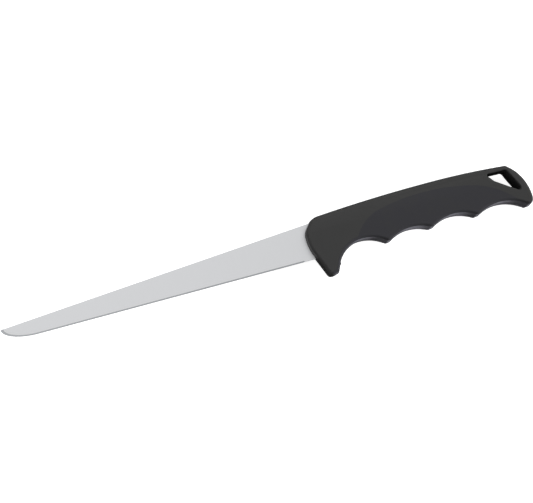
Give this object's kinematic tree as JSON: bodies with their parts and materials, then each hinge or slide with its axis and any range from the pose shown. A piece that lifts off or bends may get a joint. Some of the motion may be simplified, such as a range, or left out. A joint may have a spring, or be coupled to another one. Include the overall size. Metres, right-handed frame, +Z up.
{
  "type": "fillet knife",
  "caption": "Fillet knife: long narrow upswept blade, moulded handle with finger guard, finger grooves, soft grip panels and a rounded triangular lanyard hole.",
  "frame": {"origin": "centre of the knife's footprint on the table, as it lies on its side", "axes": "+X along the cutting edge towards the butt, +Y from the cutting edge towards the spine, +Z up from the table, square to the blade's flat"},
  "size_m": [0.3129, 0.0379, 0.016],
  "materials": {
    "blade_steel": "satin, finely brushed",
    "hard_plastic": "fine moulded texture",
    "soft_rubber": "matt soft overmould"
  },
  "bodies": {
    "root": {"blade": "blade_steel", "handle_body": "hard_plastic", "soft_grip": "soft_rubber"}
  },
  "joints": []
}
